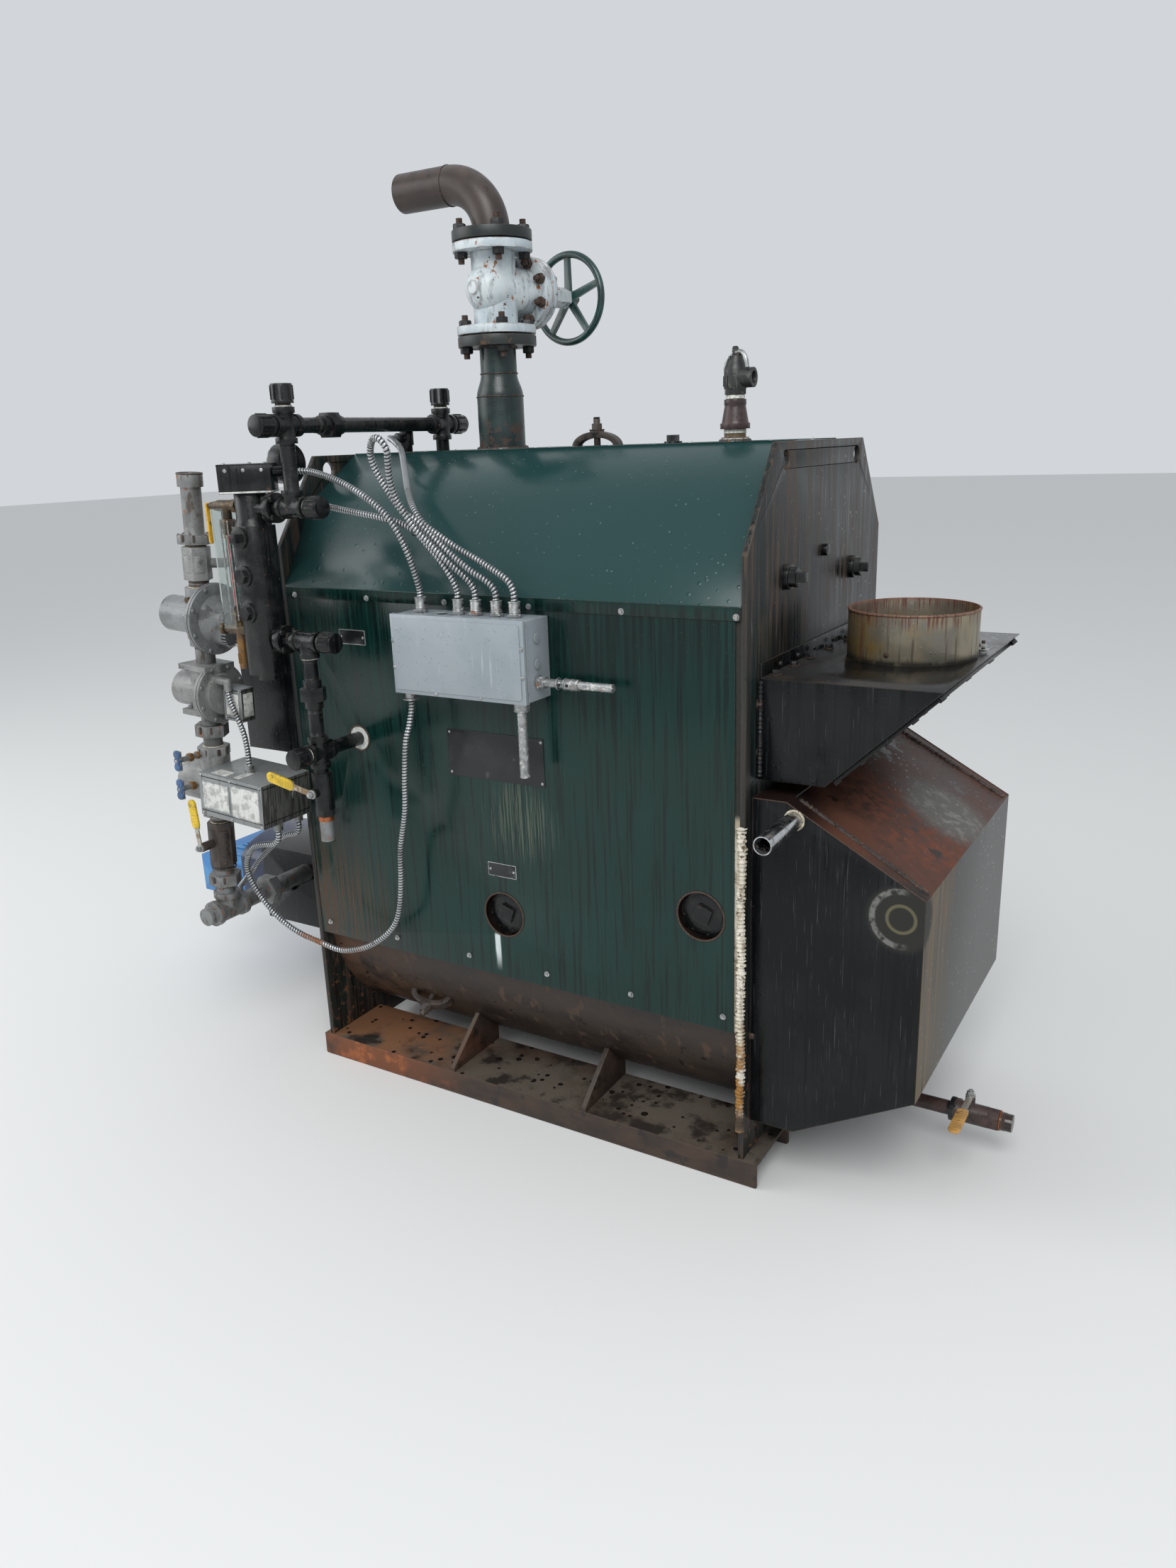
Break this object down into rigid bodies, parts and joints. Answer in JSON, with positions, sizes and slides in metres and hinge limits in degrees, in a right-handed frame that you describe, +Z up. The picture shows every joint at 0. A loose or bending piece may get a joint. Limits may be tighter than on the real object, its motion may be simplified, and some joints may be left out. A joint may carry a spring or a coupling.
{
  "type": "packaged steam boiler",
  "caption": "Packaged steam boiler on a channel skid: jacketed vessel, steam gate valve, safety valve, water column, leaning gas train, burner, flue boxes and control box.",
  "frame": {"origin": "on the ground, midway between the two end plates and the two skid channels", "axes": "+X along the boiler towards the flue box, -Y towards the control box, +Z up"},
  "size_m": [2.469, 1.053, 2.2475],
  "materials": {
    "jacket": "gloss green paint, wet streaks",
    "plate_black": "black paint with drips and rust",
    "skid_rust": "black paint gone to rust",
    "shell_steel": "dark scaled steel",
    "insulation": "stained mineral wool",
    "pipe_black": "black malleable iron",
    "flange_rust": "rusty cast flange",
    "valve_silver": "silver painted casting",
    "handwheel": "dark blue green enamel",
    "elbow_brown": "dark brown weathered steel",
    "nipple_red": "rusty red brown",
    "brass_old": "tarnished brass",
    "bronze": "dark bronze",
    "glass": "clear gauge glass",
    "grey_cast": "grey cast aluminium",
    "grey_box": "grey enamel with dirt runs",
    "control_blue": "pale blue grey enamel",
    "zinc": "zinc plated steel",
    "conduit": "bright spiral armour",
    "lever_yellow": "yellow grip on a plated lever",
    "burner_blue": "blue enamel",
    "flue_black": "wet black paint",
    "collar_brown": "brown weathered galvanised sheet",
    "rear_rust": "black paint gone to rust",
    "stainless": "bright stainless"
  },
  "bodies": {
    "boiler": {"skid_front": "skid_rust", "skid_back": "skid_rust", "skid_gussets": "skid_rust", "left_end_plate": "plate_black", "right_end_plate": "plate_black", "pressure_shell": "shell_steel", "jacket_front": "jacket", "jacket_back": "jacket", "roof": "jacket", "edge_insulation": "insulation", "steam_pipe": "pipe_black", "steam_flanges": "flange_rust", "gate_valve_body": "valve_silver", "gate_valve_bonnet": "valve_silver", "outlet_elbow": "elbow_brown", "safety_nipple": "nipple_red", "safety_valve": "bronze", "handholes": "zinc", "vessel_plugs": "pipe_black", "water_column": "pipe_black", "column_head_box": "pipe_black", "gauge_glass": "glass", "gauge_cocks": "brass_old", "equalizing_pipe_upper": "pipe_black", "equalizing_pipe_lower": "pipe_black", "column_drain_valve": "pipe_black", "pressure_gauge": "pipe_black", "control_box": "control_blue", "control_box_cover": "control_blue", "box_connectors": "zinc", "gas_pipework": "pipe_black", "gas_upper_valve": "bronze", "gas_regulator": "grey_cast", "gas_diaphragm_valve": "grey_cast", "gas_valve_box": "grey_box", "gas_main_valve": "grey_cast", "gas_actuator": "grey_box", "gas_lower_valve": "pipe_black", "burner_wind_box": "flue_black", "burner": "burner_blue", "front_smoke_box": "flue_black", "flue_box": "flue_black", "flue_cover": "flue_black", "flue_collar": "collar_brown", "rear_box": "rear_rust", "sight_tube": "stainless", "blowdown_pipe": "nipple_red", "conduit_head_box": "conduit", "conduit_column": "conduit", "conduit_hairpin": "conduit", "conduit_probe": "conduit", "conduit_actuator": "conduit", "conduit_valve": "conduit", "conduit_burner": "conduit"},
    "handwheel": {"gate_valve_handwheel": "handwheel"},
    "column_drain_lever": {"column_drain_lever": "lever_yellow"},
    "gas_upper_lever": {"gas_upper_lever": "lever_yellow"},
    "gas_lower_lever": {"gas_lower_lever": "lever_yellow"},
    "blowdown_lever": {"blowdown_lever": "lever_yellow"}
  },
  "joints": [
    {"name": "handwheel_turn", "type": "hinge", "parent": "boiler", "child": "handwheel", "pos_m": [-0.18779, 0.2872, 1.9625], "axis": [0.1115, 0.9938, 0], "range_deg": [0, 3060]},
    {"name": "column_drain_turn", "type": "hinge", "parent": "boiler", "child": "column_drain_lever", "pos_m": [-0.408, -0.55, 0.832], "axis": [0, -1, 0], "range_deg": [0, 90]},
    {"name": "gas_upper_turn", "type": "hinge", "parent": "boiler", "child": "gas_upper_lever", "pos_m": [-0.80335, -0.5, 1.35127], "axis": [-0.6416, -0.766, 0.0392], "range_deg": [0, 90]},
    {"name": "gas_lower_turn", "type": "hinge", "parent": "boiler", "child": "gas_lower_lever", "pos_m": [-0.84791, -0.5, 0.62263], "axis": [0, -1, 0], "range_deg": [0, 90]},
    {"name": "blowdown_turn", "type": "hinge", "parent": "boiler", "child": "blowdown_lever", "pos_m": [1.024, -0.06, 0.105], "axis": [0, 0, 1], "range_deg": [0, 90]}
  ]
}
